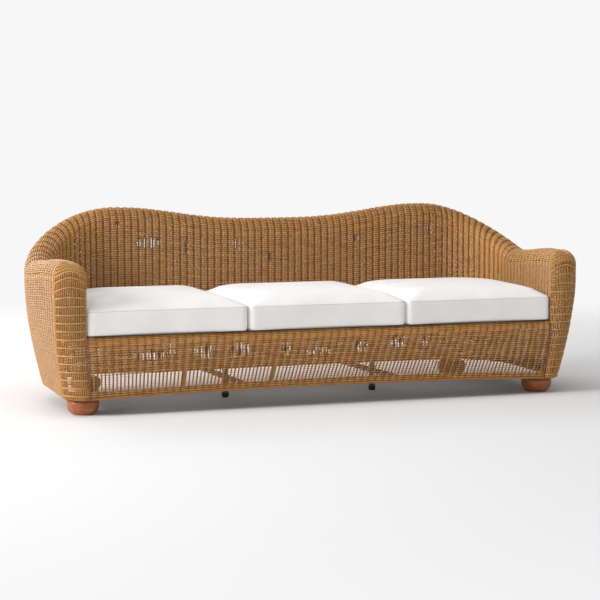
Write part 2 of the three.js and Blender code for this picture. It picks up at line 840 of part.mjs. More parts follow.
// Centre legs with their low rails
for (const [side, sign] of sides) {
  const x = sign * legShare * cornerX;
  add(`${side}_front_low_rail`, lowRail(x, true), framePaint);
  add(`${side}_rear_low_rail`, lowRail(x, false), framePaint);
  add(`${side}_centre_leg`, leg(x, 0), framePaint);
  add(`${side}_centre_leg_glide`, glide(x), blackCap);
}

// Feet
for (const [side, sign] of sides) {
  for (const [end, place, row, plateRadius] of [
    ['front', halfWidth - frontFootInset, frontFootSetback - halfDepth, frontPlateRadius],
    ['rear', halfWidth - rearFootInset, halfDepth - rearFootSetback, rearPlateRadius],
  ]) {
    const x = sign * place;
    add(`${end}_${side}_foot`, foot(x, row), footWood);
    add(`${end}_${side}_foot_plate`, plate(x, row, plateRadius), framePaint);
    add(`${end}_${side}_foot_bolt`, bolt(x, row), zinc);
  }
}

// Loose cushions
const leftOutline = endOutline().map((p) => new THREE.Vector2(-p.x, p.y)).reverse();
add('left_cushion', cushion(leftOutline), cushionCloth);
add('middle_cushion', cushion(middleOutline()), cushionCloth);
add('right_cushion', cushion(endOutline()), cushionCloth);

export default group;
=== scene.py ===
"""A woven garden sofa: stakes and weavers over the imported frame, bun feet and loose box cushions."""

import json
import math

import bpy
import numpy as np
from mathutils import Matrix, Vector


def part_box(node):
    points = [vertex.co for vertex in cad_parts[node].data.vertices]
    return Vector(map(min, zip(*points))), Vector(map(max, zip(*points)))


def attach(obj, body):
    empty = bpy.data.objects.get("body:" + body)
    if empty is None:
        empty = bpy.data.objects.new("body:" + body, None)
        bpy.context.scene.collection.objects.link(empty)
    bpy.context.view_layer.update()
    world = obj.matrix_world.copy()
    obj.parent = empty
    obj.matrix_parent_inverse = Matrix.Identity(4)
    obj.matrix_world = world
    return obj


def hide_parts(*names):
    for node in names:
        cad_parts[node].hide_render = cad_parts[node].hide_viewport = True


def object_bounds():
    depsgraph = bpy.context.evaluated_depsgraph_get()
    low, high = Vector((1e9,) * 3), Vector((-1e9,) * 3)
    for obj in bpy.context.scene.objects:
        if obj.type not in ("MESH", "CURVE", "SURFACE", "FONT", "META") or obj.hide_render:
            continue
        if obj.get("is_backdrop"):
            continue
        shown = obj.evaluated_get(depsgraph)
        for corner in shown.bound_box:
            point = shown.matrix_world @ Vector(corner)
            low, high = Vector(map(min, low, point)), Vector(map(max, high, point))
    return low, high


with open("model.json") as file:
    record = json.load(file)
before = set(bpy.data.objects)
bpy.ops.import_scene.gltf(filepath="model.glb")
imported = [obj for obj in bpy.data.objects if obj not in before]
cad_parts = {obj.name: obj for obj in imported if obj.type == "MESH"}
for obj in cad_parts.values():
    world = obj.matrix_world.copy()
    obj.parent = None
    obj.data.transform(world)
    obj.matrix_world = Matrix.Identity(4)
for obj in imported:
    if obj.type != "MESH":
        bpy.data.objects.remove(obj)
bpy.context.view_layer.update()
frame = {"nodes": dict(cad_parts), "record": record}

MM = 0.001
TURN = 2 * math.pi
QUARTER = math.pi / 2
rng = np.random.default_rng(7)

# Plan of the wall, as in the solids
ARM_MID = 1.150
BACK_MID = 0.3785
CORNER_RADIUS = 0.300
WALL_HALF = 0.065
HALF_DEPTH = 0.4435
ARM_PINCH = 0.031
CORNER_X = ARM_MID - CORNER_RADIUS
CORNER_Y = BACK_MID - CORNER_RADIUS
CORNER_RUN = CORNER_RADIUS * QUARTER

# Crest of the wall, by distance along it from the middle of the back
BACK_CREST = 0.777
SHOULDER_RISE = 0.058
SADDLE_CREST = 0.621
SADDLE_FALL = 0.214
ARM_RISE = 0.027
ARM_CREST = 0.648
SHOULDER_START = 0.735
SHOULDER_END = 0.760
SADDLE_PLACE = 1.310
ARM_CREST_PLACE = 1.700
RISE_POWER = 1.74
FALL_POWER = 0.64
ARM_ROLL = ARM_CREST - WALL_HALF

# Taper of the outer face towards the floor
SKIRT = 0.070
BULGE = 0.525
SIDE_TAPER = 0.078
BACK_TAPER = 0.050
TAPER_POWER = 1.7

# Front of an arm
CREASE_TOP = 0.450
CREASE_DEPTH_HIGH = 0.036
CREASE_DEPTH_LOW = 0.099
PANEL_TUCK = 0.028
DOME_ROW = -0.378
SEAM_ROUND = 0.018
SEAM_PINCH = 0.018
SEAM_PINCH_TOP = 0.334
CROWN_INSET = 0.014
PLAN_STEPS = 41

# Apron and deck
SEAT_RAIL = 0.3127
APRON_FRONT = -0.4315
APRON_TURN = 0.0213
APRON_TUCK = 0.026
APRON_ARCH = 0.018
APRON_HALF = 1.041
APRON_HEIGHT = 0.243
APRON_PLAY = 0.002
LEAN_LEAST = 3
LEAN_MORE = 11
LEAN_END = 0.1
LEAN_POWER = 8
DECK = 0.3343
DECK_PLAY = 0.004
DECK_SINK = 0.0015

# The side it is seen from
azimuth, elevation = math.radians(19), math.radians(5.3)
reach = 8.05
target = Vector((0.0155, 0, 0.420))
level = math.cos(elevation)
back = Vector((-math.sin(azimuth) * level, -math.cos(azimuth) * level, math.sin(elevation)))

# Looser places in the weave, which go straight through both faces: across and up from the middle,
# seen from that side, then half the width and half the height. The outer sides of the arms have none
LOOSE = (
    (-0.83, 0.34, 0.035, 0.008),
    (-0.69, 0.254, 0.066, 0.034),
    (-0.515, 0.23, 0.014, 0.036),
    (-0.28, 0.254, 0.036, 0.032),
    (-0.118, 0.19, 0.044, 0.026),
    (0.25, 0.28, 0.02, 0.02),
    (0.584, 0.317, 0.022, 0.028),
    (-0.90, -0.245, 0.044, 0.016),
    (-0.68, -0.256, 0.10, 0.026),
    (-0.58, -0.224, 0.02, 0.026),
    (-0.43, -0.235, 0.056, 0.036),
    (-0.27, -0.226, 0.062, 0.036),
    (-0.06, -0.224, 0.03, 0.024),
    (0.08, -0.232, 0.062, 0.026),
    (0.27, -0.212, 0.044, 0.028),
    (0.44, -0.196, 0.046, 0.032),
    (0.566, -0.184, 0.036, 0.018),
    (0.655, -0.186, 0.01, 0.026),
    (0.765, -0.18, 0.01, 0.034),
    (0.894, -0.192, 0.028, 0.018),
)
LOOSE_SIDE = 0.95
LOOSE_FALL = 2.6
FAR_SLACK = 0.6
SLACK_TIGHT = 0.38
SLACK_LOOSE = 0.55


def share(value, low, high):
    return np.clip((value - low) / (high - low), 0, 1)


def ease(value, low, high):
    return (1 - np.cos(np.pi * share(value, low, high))) / 2


def mix(a, b, t):
    return a + (b - a) * t


def floats(a, b):
    """Both as arrays of one shape."""
    return np.broadcast_arrays(np.asarray(a, float), np.asarray(b, float))


# The surfaces that are woven


def crest(s):
    rise = BACK_CREST + SHOULDER_RISE * ease(s, 0, SHOULDER_START) ** RISE_POWER
    fall = SADDLE_CREST + SADDLE_FALL * ease(s, SADDLE_PLACE, SHOULDER_END) ** FALL_POWER
    arm = SADDLE_CREST + ARM_RISE * ease(s, SADDLE_PLACE, ARM_CREST_PLACE)
    return np.where(s < SHOULDER_END, rise, np.where(s < SADDLE_PLACE, fall, arm))


def tapered(z):
    """How far the taper of the outer face has come at a height, 0 at the bulge and 1 at the skirt."""
    return share(z, BULGE, SKIRT) ** TAPER_POWER


def pinch(y):
    return ARM_PINCH * (np.maximum(0, CORNER_Y - y) / (CORNER_Y + HALF_DEPTH)) ** 2


def panel_front(z):
    return PANEL_TUCK * tapered(z) - HALF_DEPTH


def crease_row(z):
    return panel_front(z) + mix(CREASE_DEPTH_HIGH, CREASE_DEPTH_LOW, share(z, CREASE_TOP, SKIRT))


def seam_row(z):
    return panel_front(z) + SEAM_ROUND


def seam_x(z):
    return ARM_MID - pinch(seam_row(z)) - WALL_HALF - SEAM_PINCH * share(z, SEAM_PINCH_TOP, SKIRT)


def wall_point(u, t):
    """The wall: u is -3..3, back to 1, corner to 2, arm to 3; t is 0..4, outer face, roll, inner face."""
    u, t = floats(u, t)
    side, a = np.where(u < 0, -1.0, 1.0), np.abs(u)
    turn = np.clip(a - 1, 0, 1) * QUARTER
    near = CORNER_X * np.minimum(a, 1) + CORNER_RUN * np.clip(a - 1, 0, 1)
    phi = np.clip(t - 1, 0, 2) * QUARTER

    def section(s):
        centre = crest(s) - WALL_HALF
        z = np.where(t < 1, mix(SKIRT, centre, t), centre + WALL_HALF * np.sin(phi))
        return np.where(t > 3, mix(centre, DECK, t - 3), z)

    inner_z = np.where(t > 3, mix(ARM_ROLL, DECK, t - 3), ARM_ROLL)
    row_z = np.where(t < 1, mix(SKIRT, ARM_ROLL, t), inner_z)
    full = np.where(t < 2, crease_row(row_z), seam_row(row_z))
    end = np.where((t > 1) & (t < 3), mix(DOME_ROW, full, np.abs(np.cos(phi))), full)
    y_arm = mix(CORNER_Y, end, np.clip(a - 2, 0, 1))
    z = section(near + (CORNER_Y - y_arm))
    taper = mix(BACK_TAPER, SIDE_TAPER, np.clip(a - 1, 0, 1)) - pinch(y_arm)
    offset = np.where(t < 1, WALL_HALF - taper * tapered(z), WALL_HALF * np.cos(phi))
    out_x, out_y = np.sin(turn), np.cos(turn)
    x = np.where(a <= 1, CORNER_X * a, CORNER_X + CORNER_RADIUS * out_x - pinch(y_arm)) + out_x * offset
    y = np.where(a <= 1, BACK_MID, CORNER_Y + CORNER_RADIUS * out_y) + out_y * offset
    y = np.where(a > 2, y_arm, y)
    return np.stack([side * x, y, z], -1)


def panel_plan(z, t):
    """Plan of the right arm's front at a height: t is 0..1 from the crease to the crown, then to the seam."""
    front, crease = panel_front(z), crease_row(z)
    side_mid = ARM_MID - pinch(crease)
    crease_x = side_mid + WALL_HALF - (SIDE_TAPER - pinch(crease)) * tapered(z)
    crown = mix(side_mid, seam_x(z) + CROWN_INSET, share(z, CREASE_TOP, SKIRT))
    a, b = np.clip(t, 0, 1) * QUARTER, np.clip(t - 1, 0, 1) * QUARTER
    x = np.where(t <= 1, crown + (crease_x - crown) * np.cos(a), crown - (crown - seam_x(z)) * np.sin(b))
    y = np.where(t <= 1, crease - (crease - front) * np.sin(a), front + SEAM_ROUND * (1 - np.cos(b)))
    return x, y


def panel_point(v, f):
    """The right arm's front: v is 0..1 up to the dome and 1..2 over it; f is 0..1 along its plan."""
    v, f = floats(v, f)
    height = mix(SKIRT, ARM_ROLL, np.clip(v, 0, 1))
    fine = np.linspace(0, 2, PLAN_STEPS)
    px, py = panel_plan(height[..., None], fine)
    run = np.cumsum(np.hypot(np.diff(px), np.diff(py)), -1)
    run = np.concatenate([np.zeros_like(px[..., :1]), run], -1)
    run /= run[..., -1:]
    rows = zip(f.reshape(-1), run.reshape(-1, PLAN_STEPS))
    t = np.array([np.interp(value, row, fine) for value, row in rows]).reshape(f.shape)
    x, y = panel_plan(height, t)
    phi = np.clip(v - 1, 0, 1) * QUARTER
    tip_x = ARM_MID - pinch(np.array(DOME_ROW))
    out = np.cos(phi)
    return np.stack([mix(tip_x, x, out), mix(DOME_ROW, y, out), height + WALL_HALF * np.sin(phi)], -1)


def apron_edge(x):
    return SKIRT + APRON_ARCH * (1 - np.minimum(1, np.abs(x) / APRON_HALF) ** 2)


def apron_point(a, h):
    """The apron: a is -1..1 across; h is 0..1 from the lower edge to the seat rail and 1..2 over it."""
    a, h = floats(a, h)
    up = np.clip(h, 0, 1)
    lean = np.radians(LEAN_LEAST + LEAN_MORE * ease(a, -1.0, LEAN_END)) * (1 - np.abs(a) ** LEAN_POWER)
    x = a * (seam_x(mix(SKIRT, SEAT_RAIL, up)) - APRON_PLAY) + np.tan(lean) * (up - 0.5) * APRON_HEIGHT
    z = mix(apron_edge(x), SEAT_RAIL, up)
    y = APRON_FRONT + APRON_TUCK * share(z, SEAT_RAIL, SKIRT) ** 2
    phi = np.clip(h - 1, 0, 1) * QUARTER
    y = np.where(h > 1, APRON_FRONT + APRON_TURN * (1 - np.cos(phi)), y)
    return np.stack([x, y, z + APRON_TURN * np.sin(phi)], -1)


def deck_point(a, b):
    """The deck: a is -1..1 across, b is 0..1 from the front to the back."""
    a, b = floats(a, b)
    y = mix(APRON_FRONT + APRON_TURN, BACK_MID - WALL_HALF - DECK_PLAY, b)
    inner = CORNER_RADIUS - WALL_HALF
    beside = ARM_MID - pinch(y) - WALL_HALF
    round_corner = CORNER_X + np.sqrt(np.maximum(0, inner ** 2 - np.maximum(0, y - CORNER_Y) ** 2))
    half = np.where(y < CORNER_Y, beside, round_corner) - DECK_PLAY
    return np.stack([a * half, y, np.full_like(y, DECK - DECK_SINK)], -1)


def unmirrored(surface):
    return surface


def mirrored(surface):
    return lambda a, b: surface(a, b) * [-1, 1, 1]


SIDES = (("left", mirrored), ("right", unmirrored))

# What runs across an arm's front arches with its dome: by how much, how it falls off to the sides of the
# panel, and how far below and above the foot of the dome it starts and is full
ARCH = 0.020
ARCH_SIDES = 5.2
ARCH_POWER = 1.6
ARCH_BELOW = 0.14
ARCH_ABOVE = 0.01


def arched(surface):
    rise = ARM_ROLL - SKIRT
    over = WALL_HALF * QUARTER
    full = rise + ARCH_ABOVE

    def warped(v, f):
        v, f = floats(v, f)
        run = rise * np.minimum(v, 1) + over * np.maximum(0, v - 1)
        amount = ARCH * ease(run, rise - ARCH_BELOW, full) * (1 - share(run, full, rise + over))
        run = run + amount * (1 - ARCH_SIDES * np.abs(f - 0.5) ** ARCH_POWER)
        return surface(np.where(run < rise, run / rise, np.minimum(2, 1 + (run - rise) / over)), f)

    return warped


def looseness(points, slack):
    """How loose the weave is at each point, 0 to 1, where the slack of its column lets it be."""
    ahead = -np.array(back)
    across = normalised(np.cross(ahead, (0, 0, 1)))
    seen = points - np.array(target + back * reach)
    depth = seen @ ahead
    slack = np.where(points[:, 1] > BACK_MID, FAR_SLACK, slack)
    x, y = reach * (seen @ across) / depth, reach * (seen @ np.cross(across, ahead)) / depth
    loose = np.zeros(len(points))
    for middle_x, middle_y, half_width, half_height in LOOSE:
        away = np.hypot((x - middle_x) / half_width, (y - middle_y) / half_height - (slack - 0.5))
        loose = np.maximum(loose, np.clip(LOOSE_FALL * (1 - away), 0, 1))
    return loose * share(slack, SLACK_TIGHT, SLACK_LOOSE) * (np.abs(points[:, 0]) < LOOSE_SIDE)


# Swept strands. A section is given in shares of the half width and in heights over the surface. How high a
# point stands runs from 0 to 1 over the span of heights

STAKE = np.array([[-1.0, -2.6], [-0.7, 0.6], [0.7, 0.6], [1.0, -2.6]]) * [1, MM]
WEAVER = np.array([[-1.0, -1.0], [-0.8, 0.4], [-0.3, 1.15], [0.3, 1.15], [0.8, 0.4], [1.0, -1.0]]) * [1, MM]
HIGH_SPAN = 4 * MM
HIGH_START = 0.75
START_SPREAD = 3
LEAST = 1e-12


def normalised(v):
    return v / np.maximum(np.linalg.norm(v, axis=-1, keepdims=True), LEAST)


def length_along(path):
    return np.r_[0, np.cumsum(np.linalg.norm(np.diff(path, axis=0), axis=1))]


class Strands:
    """Gathers swept strands into one mesh. Each point keeps how far along its strand it lies, a tone that
    the strand has, and how high it stands in the weave."""

    def __init__(self):
        self.co, self.quads, self.caps = [], [], []
        self.tone, self.along, self.high = [], [], []
        self.count = 0

    def add(self, path, normal, section, width, lift=0.0):
        """Sweeps a section along a path. The width is half the strand's; the lift takes it out further."""
        n, k = len(path), len(section)
        run = np.gradient(path, axis=0)
        side = normalised(np.cross(run, normal))
        out = normalised(np.cross(side, run))
        width = np.broadcast_to(width, (n,))[:, None, None]
        lift = np.broadcast_to(lift, (n,))[:, None, None]
        across, height = section[:, 0][None, :, None], section[:, 1][None, :, None]
        ring = path[:, None] + side[:, None] * across * width + out[:, None] * (height + lift)
        index = self.count + np.arange(n * k).reshape(n, k)
        self.quads.append(walls(index))
        self.caps += [index[0][::-1], index[-1]]
        self.co.append(ring.reshape(-1, 3))
        self.along.append(np.repeat(length_along(path) + rng.random() * START_SPREAD, k))
        self.high.append(((height + lift)[:, :, 0] / HIGH_SPAN + HIGH_START).reshape(-1))
        self.tone.append(np.full(n * k, rng.random()))
        self.count += n * k

    def build(self, name, material, replaces):
        co = np.concatenate(self.co)
        quads = np.concatenate(self.quads)
        mesh = bpy.data.meshes.new(name)
        loops = np.concatenate([quads.ravel(), *self.caps]).astype(np.int32)
        sizes = np.r_[np.full(len(quads), 4), [len(c) for c in self.caps]]
        smooth = np.r_[np.ones(len(quads), bool), np.zeros(len(self.caps), bool)]
        mesh.vertices.add(len(co))
        mesh.vertices.foreach_set("co", co.astype(np.float32).ravel())
        mesh.loops.add(len(loops))
        mesh.loops.foreach_set("vertex_index", loops)
        mesh.polygons.add(len(sizes))
        mesh.polygons.foreach_set("loop_start", np.r_[0, np.cumsum(sizes)[:-1]].astype(np.int32))
        mesh.polygons.foreach_set("use_smooth", smooth)
        for key in ("tone", "along", "high"):
            values = np.concatenate(getattr(self, key)).astype(np.float32)
            mesh.attributes.new(key, "FLOAT", "POINT").data.foreach_set("value", values)
        mesh.update(calc_edges=True)
        mesh.materials.append(material)
        return add_piece(name, mesh, replaces)


def walls(index):
    """The four-sided faces between each ring of points and the next."""
    after = np.roll(index, -1, 1)
    return np.stack([index[:-1], after[:-1], after[1:], index[1:]], -1).reshape(-1, 4)


def add_piece(name, mesh, replaces):
    piece = bpy.data.objects.new(name, mesh)
    bpy.context.scene.collection.objects.link(piece)
    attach(piece, "sofa_body")
    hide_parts(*replaces)
    return piece


def normals_on(surface, a, b, sign, step=1e-4):
    across = surface(a + step, b) - surface(a - step, b)
    up = surface(a, b + step) - surface(a, b - step)
    return normalised(np.cross(across, up)) * sign


# One step of the weave, from a broad stake to the next: places along it, then how high a weaver stands
# there, how high every second one does, and how much of its row half of it fills, up to a most. A stake
# has half its width, its height and its material. Where the weave is loose, a weaver thins beside the
# stakes more than on them. It also wavers a little in height. PART_ROWS rows of weavers go into one mesh
STEP = np.array([0, 0.13, 0.25, 0.37, 0.5, 0.63, 0.75, 0.87])
THINS = np.array([0.1, 0.45, 0.8, 0.8, 0.2, 0.8, 0.8, 0.45])
THINNEST = 0.5 * MM
WAVER = 0.3 * MM
WAVER_RATE = 37
WAVER_TURN = 6.28
AT_PLAY = 1e-9
PART_ROWS = 44
RIBBED = {
    "lift": np.array([-0.6, -0.2, -0.6, -2.7, -4.4, -2.7, -0.6, -0.2]) * MM,
    "under": np.array([-1.1, -0.6, -0.9, -2.9, -4.6, -2.9, -0.9, -0.6]) * MM,
    "width": np.array([0.28, 0.35, 0.43, 0.42, 0.37, 0.42, 0.43, 0.35]),
    "most": 0.48,
    "broad": (6.5 * MM, -2.8 * MM, "shaded_stake"),
    "slim": (2.7 * MM, -2.9 * MM, "groove"),
}
DOTTED = {
    "lift": RIBBED["lift"],
    "under": RIBBED["under"],
    "width": np.array([0.38, 0.42, 0.46, 0.40, 0.25, 0.40, 0.46, 0.42]),
    "most": 0.46,
    "broad": (5.0 * MM, -2.6 * MM, "shaded_stake"),
    "slim": (3.0 * MM, -6.4 * MM, "shade"),
}
LADDER = {
    "lift": np.array([-2.4, -1.5, -0.4, 0.0, -0.2, 0.0, -0.4, -1.5]) * MM,
    "under": np.array([-2.6, -1.8, -0.7, -0.3, -0.6, -0.3, -0.7, -1.8]) * MM,
    "width": np.array([0.34, 0.32, 0.30, 0.29, 0.28, 0.29, 0.30, 0.32]),
    "most": 0.36,
    "broad": (3.6 * MM, -0.3 * MM, "bright"),
    "slim": (3.0 * MM, -4.0 * MM, "groove"),
}
OPEN = {
    "lift": np.array([0.0, -0.3, -0.9, -1.6, -2.0, -1.6, -0.9, -0.3]) * MM,
    "under": np.array([-0.4, -0.7, -1.3, -1.9, -2.3, -1.9, -1.3, -0.7]) * MM,
    "width": np.array([0.26, 0.17, 0.12, 0.15, 0.24, 0.15, 0.12, 0.17]),
    "most": 0.37,
    "broad": (3.5 * MM, -1.6 * MM, "stake"),
    "slim": (3.3 * MM, -1.7 * MM, "groove"),
}


def halfway(places):
    """The places halfway between, and one as far past each end."""
    before, after = 1.5 * places[0] - 0.5 * places[1], 1.5 * places[-1] - 0.5 * places[-2]
    return np.r_[before, (places[1:] + places[:-1]) / 2, after]


def weave_stakes(name, surface, sign, kind, places, edges, look, faces):
    strands = Strands()
    width, lift, stuff = look[kind]
    for a in places:
        line = np.full_like(edges, a)
        strands.add(surface(line, edges), normals_on(surface, line, edges, sign), STAKE, width, lift)
    strands.build(f"{name}_{kind}_stakes", materials[stuff], faces)


def weave(
    name, surface, span, stakes, rows, look, faces, probe, outward, part_rows=PART_ROWS, fill=None, first=0,
):
    """Weaves a surface: broad stakes at the given places across it, slim ones between, weavers at each row.
    The probe is a place on it where outward is roughly the way out. The first slim stake can be left out,
    where the weave goes on from another one."""
    low, high = span
    guess = normals_on(surface, np.array([probe[0]]), np.array([probe[1]]), 1)[0]
    sign = 1 if np.dot(guess, outward) > 0 else -1
    edges = halfway(rows)
    slim = np.clip(halfway(stakes), low, high)[first:]
    weave_stakes(name, surface, sign, "broad", stakes, edges, look, faces)
    weave_stakes(name, surface, sign, "slim", slim, edges, look, faces)
    knots = np.r_[2 * stakes[0] - stakes[1], stakes, 2 * stakes[-1] - stakes[-2]]
    at = (knots[:-1, None] + np.diff(knots)[:, None] * STEP).ravel()
    step = np.tile(np.arange(len(STEP)), len(knots) - 1)
    inside = (at >= low - AT_PLAY) & (at <= high + AT_PLAY)
    slack = np.repeat(rng.random(len(knots) * 2 - 2), len(STEP) // 2)[inside]
    at, step = np.clip(at[inside], low, high), step[inside]
    half = np.gradient(rows) / 2
    for part, begin in enumerate(range(0, len(rows), part_rows)):
        weavers = Strands()
        for i in range(begin, min(begin + part_rows, len(rows))):
            row = np.full_like(at, rows[i])
            height = np.linalg.norm(surface(at, row + half[i]) - surface(at, row - half[i]), axis=1)
            filled = look["width"][step] * (fill(rows[i]) if fill else 1)
            filled = filled * (1 - THINS[step] * looseness(surface(at, row), slack))
            lift = look["lift" if i % 2 else "under"][step]
            lift = lift + WAVER * np.sin(at * WAVER_RATE + rng.random() * WAVER_TURN)
            width = np.maximum(THINNEST, np.minimum(look["most"], filled) * height)
            weavers.add(surface(at, row), normals_on(surface, at, row, sign), WEAVER, width, lift)
        weavers.build(f"{name}_weavers_{part + 1}", materials["weaver"], faces)


# Materials


def linear(value):
    """An 8-bit sRGB value as a linear one."""
    value /= 255
    return value / 12.92 if value <= 0.04045 else ((value + 0.055) / 1.055) ** 2.4


def colour(r, g, b):
    """A screen colour as the shaders take it."""
    return (linear(r), linear(g), linear(b), 1)


def principled(name):
    material = bpy.data.materials.new(name)
    material.use_nodes = True
    nodes, links = material.node_tree.nodes, material.node_tree.links
    return material, nodes, links, nodes["Principled BSDF"]


def ramp(nodes, links, factor, stops):
    """Colours over a factor, from stops of a position and a screen colour."""
    node = nodes.new("ShaderNodeValToRGB")
    elements = node.color_ramp.elements
    for i, (position, screen) in enumerate(stops):
        stop = elements[i] if i < 2 else elements.new(position)
        stop.position = position
        stop.color = colour(*screen)
    links.new(factor, node.inputs["Fac"])
    return node.outputs["Color"]


def noise(nodes, links, place, scale, detail=3.0, distortion=0.0):
    texture = nodes.new("ShaderNodeTexNoise")
    texture.inputs["Scale"].default_value = scale
    texture.inputs["Detail"].default_value = detail
    texture.inputs["Distortion"].default_value = distortion
    links.new(place, texture.inputs["Vector"])
    return texture.outputs["Fac"]


def stretched(nodes, links, place, scale):
    node = nodes.new("ShaderNodeVectorMath")
    node.operation = "MULTIPLY"
    node.inputs[1].default_value = scale
    links.new(place, node.inputs[0])
    return node.outputs[0]


def bump(nodes, links, height, shader, strength, distance):
    node = nodes.new("ShaderNodeBump")
    node.inputs["Strength"].default_value = strength
    node.inputs["Distance"].default_value = distance
    links.new(height, node.inputs["Height"])
    links.new(node.outputs["Normal"], shader.inputs["Normal"])


def blend_colours(nodes, links, factor, a, b):
    """A mix of two colours, each a socket or a value. A mix node has them at inputs 6 and 7 and output 2."""
    node = nodes.new("ShaderNodeMix")
    node.data_type = "RGBA"
    for socket, value in ((node.inputs[0], factor), (node.inputs[6], a), (node.inputs[7], b)):
        if hasattr(value, "links"):
            links.new(value, socket)
        else:
            socket.default_value = value
    return node.outputs[2]


def times_plus(nodes, links, value, factor, more):
    node = nodes.new("ShaderNodeMath")
    node.operation = "MULTIPLY_ADD"
    node.inputs[1].default_value = factor
    links.new(value, node.inputs[0])
    links.new(more, node.inputs[2])
    return node.outputs[0]


def read_attribute(nodes, key):
    node = nodes.new("ShaderNodeAttribute")
    node.attribute_name = key
    return node.outputs["Fac"]


def object_place(nodes):
    return nodes.new("ShaderNodeTexCoord").outputs["Object"]


WICKER_ROUGHNESS = 0.42
WICKER_SHEEN = 0.80
WICKER_SHEEN_TINT = (1.0, 0.96, 0.88, 1)
WICKER_SHEEN_ROUGHNESS = 0.3
STREAKS = (7.0, 1.0, 45.0)


def wicker(name, dip_shade_stops, lights):
    """Resin strand: darker where it dips, as painted shade of the weave's hollows, a tone of its own, streaks
    along it.
    """
    material, nodes, links, shader = principled(name)
    place = nodes.new("ShaderNodeCombineXYZ")
    links.new(read_attribute(nodes, "along"), place.inputs[0])
    links.new(read_attribute(nodes, "tone"), place.inputs[2])
    place = stretched(nodes, links, place.outputs[0], STREAKS)
    streak = noise(nodes, links, place, scale=2.0)
    dark = ramp(nodes, links, streak, dip_shade_stops)
    light = ramp(nodes, links, streak, lights)
    # Painted shade: the colour runs to the darker stops where the strand dips low in the weave
    blended = blend_colours(nodes, links, read_attribute(nodes, "high"), dark, light)
    links.new(blended, shader.inputs["Base Color"])
    grain = noise(nodes, links, place, scale=34.0, detail=2.0)
    bump(nodes, links, grain, shader, strength=0.2, distance=0.0006)
    shader.inputs["Roughness"].default_value = WICKER_ROUGHNESS
    shader.inputs["Sheen Weight"].default_value = WICKER_SHEEN
    shader.inputs["Sheen Tint"].default_value = WICKER_SHEEN_TINT
    shader.inputs["Sheen Roughness"].default_value = WICKER_SHEEN_ROUGHNESS
    return material


# Each wicker's colours where it dips and where it stands high, along its streaks. The colours where it dips
# are darker, as painted shade of the weave's hollows
WICKERS = {
    "stake": (((0.35, (96, 58, 26)), (0.65, (114, 74, 34))), ((0.35, (152, 98, 42)), (0.65, (166, 114, 54)))),
    # Slim stakes sunk in the grooves: their darker colour is painted shade of the grooves
    "groove": (((0.35, (98, 50, 20)), (0.65, (118, 66, 28))), ((0.35, (120, 66, 28)), (0.65, (138, 84, 40)))),
    "bright": (
        ((0.35, (172, 118, 58)), (0.65, (188, 136, 74))),
        ((0.35, (184, 128, 66)), (0.65, (198, 148, 84))),
    ),
    # Broad stakes of the ribbed and dotted faces: a real strand, its colour darkened as painted shade where
    # it shows between the weavers
    "shaded_stake": (((0.35, (84, 58, 28)), (0.65, (102, 74, 36))), ((0.35, (116, 80, 38)), (0.65, (132, 98, 50)))),
    # The dotted sides' slim stakes, sunk deepest: darker still, as painted shade of the gaps between the
    # weavers
    "shade": (((0.35, (70, 40, 20)), (0.65, (88, 54, 26))), ((0.35, (96, 58, 28)), (0.65, (112, 72, 36)))),
    # Painted shadow: a near-black strip under the cushions' front, where there is only a shadowed gap
    "edge": (((0.3, (34, 24, 18)), (0.7, (44, 32, 24))), ((0.3, (40, 28, 20)), (0.7, (54, 40, 30)))),
    "weaver": (
        ((0.32, (115, 67, 26)), (0.48, (137, 86, 35)), (0.60, (131, 94, 40)), (0.72, (109, 65, 26))),
        ((0.32, (182, 117, 43)), (0.48, (202, 139, 58)), (0.60, (196, 144, 65)), (0.72, (174, 109, 39))),
    ),
}
materials = {key: wicker(f"wicker_{key}", *both) for key, both in WICKERS.items()}

# The weave

BACK_STAKES, CORNER_STAKES, ARM_STAKES = 52, 14, 14
OUTER_ROWS, ROLL_ROWS, INNER_ROWS = 50, 20, 42
BACK_PART_ROWS = 36
PANEL_STAKES, PANEL_DOME_STAKES, PANEL_ROWS = 15, 6, 20
PANEL_TOP = 1.93
APRON_STAKES, APRON_ROWS, APRON_TURN_ROWS = 63, 25, 4
DECK_STAKES, DECK_ROWS = 44, 56
UP, FRONT = (0, 0, 1), (0, -1, 0)

# How much closer the outer face is woven than the inner one, and how far over the roll
OUTER_CLOSER = 1.1
OUTER_END = 1.6

# How much closer than in its open band the apron is woven: how much more, from one height to another
APRON_CLOSER = ((2.6, 0.15, 0.10), (1.2, 0.36, 0.46), (1.0, 0.78, 0.86))


def even(low, high, count):
    """The middles of equal steps."""
    return low + (high - low) * (np.arange(count) + 0.5) / count


def outer_closer(t):
    return OUTER_CLOSER if t < OUTER_END else 1.0


def apron_closer(h):
    return 1 + sum(more * share(h, start, end) for more, start, end in APRON_CLOSER)


WALL_ROWS = np.r_[even(0, 1, OUTER_ROWS), even(1, 3, ROLL_ROWS), even(3, 4, INNER_ROWS)]


def weave_back():
    faces = ("back_outer_weave", "back_inner_weave")
    stakes = even(-1, 1, BACK_STAKES)
    weave(
        "back", wall_point, (-1, 1), stakes, WALL_ROWS, RIBBED, faces,
        probe=(0.01, 2), outward=UP, part_rows=BACK_PART_ROWS, fill=outer_closer,
    )


def weave_side(side, hand):
    faces = (f"{side}_outer_weave", f"{side}_inner_weave")
    stakes = np.r_[even(1, 2, CORNER_STAKES), even(2, 3, ARM_STAKES)]
    weave(
        f"{side}_side", hand(wall_point), (1, 3), stakes, WALL_ROWS, DOTTED, faces,
        probe=(1.5, 2), outward=UP, first=1,
    )


